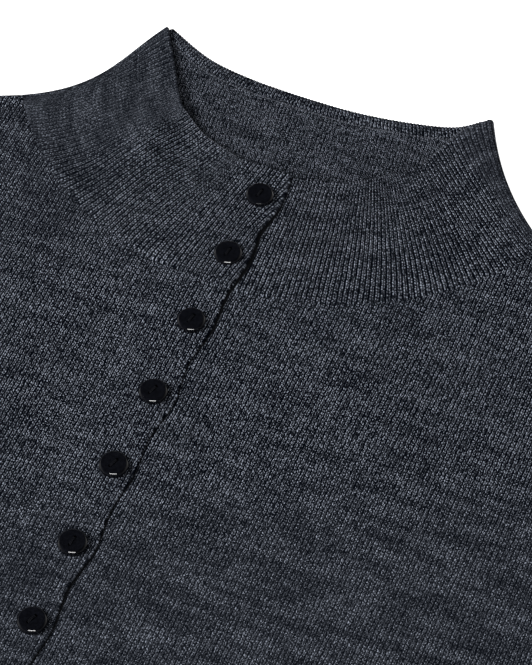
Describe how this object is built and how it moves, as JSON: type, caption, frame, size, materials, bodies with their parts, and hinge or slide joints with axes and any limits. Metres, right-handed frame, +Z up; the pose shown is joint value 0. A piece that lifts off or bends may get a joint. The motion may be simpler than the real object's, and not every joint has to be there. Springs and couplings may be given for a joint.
{
  "type": "pullover sweater",
  "caption": "Fine-knit pullover sweater laid flat, with a ribbed funnel neck and a buttoned front placket.",
  "frame": {"origin": "middle of the laid garment's bounding box, on the surface it lies on", "axes": "+X to the wearer's left, +Y from the hem to the neck, +Z up out of the front"},
  "size_m": [1.2078, 0.5986, 0.0098],
  "materials": {
    "knit": "fine charcoal heather wool jersey, matt",
    "rib": "charcoal heather wool rib, matt",
    "button": "polished black resin"
  },
  "bodies": {
    "root": {"front_panel": "knit", "back_panel": "knit", "left_sleeve": "knit", "right_sleeve": "knit", "placket_button_band": "knit", "placket_buttonhole_band": "knit", "collar": "rib", "collar_turned_edge": "rib", "hem_rib": "rib", "left_cuff": "rib", "right_cuff": "rib", "button_1": "button", "button_2": "button", "button_3": "button", "button_4": "button", "button_5": "button", "button_6": "button", "button_7": "button"}
  },
  "joints": []
}
